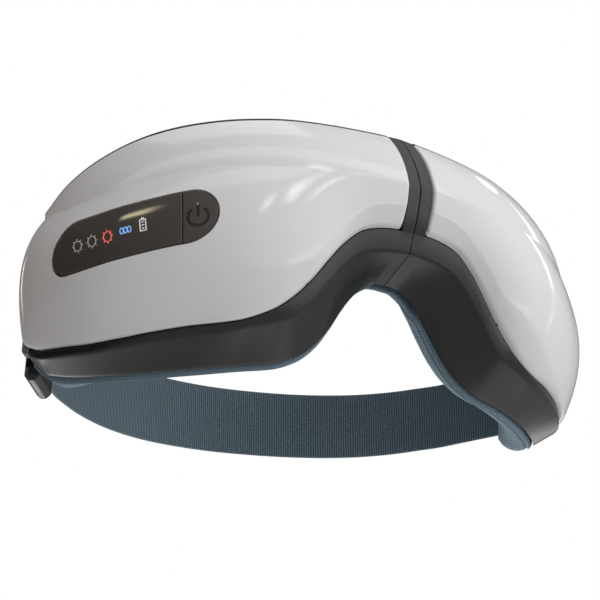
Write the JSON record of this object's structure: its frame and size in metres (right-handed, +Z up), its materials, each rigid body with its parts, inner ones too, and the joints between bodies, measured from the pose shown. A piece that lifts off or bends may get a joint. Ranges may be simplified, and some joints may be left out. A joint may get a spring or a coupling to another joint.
{
  "type": "heated eye massager",
  "caption": "Fold-up heated eye massager with two hinged padded halves, a display and power button on the front, and a head strap with a slider.",
  "frame": {"origin": "middle of the bounding box's bottom face, on the table under the lobes", "axes": "+X to the wearer's left, which is the right of the front view; +Y from the front towards the back of the head; +Z up"},
  "size_m": [0.2124, 0.1181, 0.085],
  "materials": {
    "white_shell": "glossy warm white",
    "dark_housing": "satin charcoal",
    "display_plastic": "glossy brownish black",
    "face_lining": "soft blue-grey cloth over foam",
    "strap_webbing": "ribbed blue-grey elastic",
    "black_plastic": "black satin",
    "inner_plastic": "plain dark moulding",
    "circuit_board": "green board",
    "battery_wrap": "blue wrap",
    "heater_film": "amber film",
    "airbag_rubber": "grey film",
    "clear_tube": "milky silicone",
    "steel": "plain steel",
    "brass": "turned brass"
  },
  "bodies": {
    "left_half": {"left_front_shell": "white_shell", "left_housing": "dark_housing", "left_inner_plate": "inner_plastic", "left_plate_screw_1": "steel", "left_plate_screw_2": "steel", "left_plate_screw_3": "steel", "left_face_pad": "face_lining", "left_heater_film": "heater_film", "left_airbag": "airbag_rubber", "left_airbag_tray": "inner_plastic", "left_air_valve": "steel", "left_air_tube": "clear_tube", "left_vibration_motor": "steel", "display_window": "display_plastic", "display_board": "circuit_board", "button_switch": "steel", "battery_pack": "battery_wrap", "main_board": "circuit_board", "charging_socket": "steel", "left_hinge_leaf": "steel", "hinge_pin": "steel", "left_hinge_screw_1": "steel", "left_hinge_screw_2": "steel", "head_strap": "strap_webbing", "left_strap_anchor": "black_plastic", "air_hose": "clear_tube", "hinge_cable": "black_plastic"},
    "right_half": {"right_front_shell": "white_shell", "right_housing": "dark_housing", "right_inner_plate": "inner_plastic", "right_plate_screw_1": "steel", "right_plate_screw_2": "steel", "right_plate_screw_3": "steel", "right_face_pad": "face_lining", "right_heater_film": "heater_film", "right_airbag": "airbag_rubber", "right_airbag_tray": "inner_plastic", "right_air_valve": "steel", "right_air_tube": "clear_tube", "right_vibration_motor": "steel", "pump_motor": "steel", "pump_head": "black_plastic", "pump_tube": "clear_tube", "speaker": "steel", "right_hinge_leaf": "steel", "right_hinge_screw_1": "steel", "right_hinge_screw_2": "steel", "right_strap_anchor": "black_plastic"},
    "left_head": {"left_massage_head": "inner_plastic"},
    "right_head": {"right_massage_head": "inner_plastic"},
    "button": {"power_button": "display_plastic"},
    "slider": {"strap_slider": "black_plastic"},
    "left_weight": {"left_vibration_weight": "brass"},
    "right_weight": {"right_vibration_weight": "brass"},
    "crank": {"pump_crank": "brass"}
  },
  "joints": [
    {"name": "centre_fold", "type": "hinge", "parent": "left_half", "child": "right_half", "pos_m": [0, -0.0379, 0.0617], "axis": [0, 0, 1], "range_deg": [0, 110], "deforming": ["head_strap", "air_hose", "hinge_cable"]},
    {"name": "power_button_press", "type": "slide", "parent": "left_half", "child": "button", "axis": [0.4395, 0.8983, 0], "range_m": [0, 0.0006], "stiffness_N_per_m": 800},
    {"name": "slider_slide", "type": "slide", "parent": "left_half", "child": "slider", "axis": [0.6419, 0.7489, -0.1646], "range_m": [0, 0.012]},
    {"name": "left_head_press", "type": "slide", "parent": "left_half", "child": "left_head", "axis": [0.1139, 0.9934, -0.0156], "range_m": [0, 0.002], "stiffness_N_per_m": 300},
    {"name": "right_head_press", "type": "slide", "parent": "right_half", "child": "right_head", "axis": [-0.1139, 0.9934, -0.0156], "range_m": [0, 0.002], "stiffness_N_per_m": 300},
    {"name": "left_weight_spin", "type": "hinge", "parent": "left_half", "child": "left_weight", "pos_m": [-0.08319, -0.02334, 0.05835], "axis": [-0.7944, 0.6074, 0], "continuous": true},
    {"name": "right_weight_spin", "type": "hinge", "parent": "right_half", "child": "right_weight", "pos_m": [0.08319, -0.02334, 0.05835], "axis": [0.7944, 0.6074, 0], "continuous": true},
    {"name": "pump_spin", "type": "hinge", "parent": "right_half", "child": "crank", "pos_m": [0.07324, -0.03407, 0.02518], "axis": [-0.0113, 0.0205, 0.9997], "continuous": true}
  ],
  "couplings": [
    {"joint": "right_head_press", "follows": "left_head_press", "ratio": 1}
  ]
}
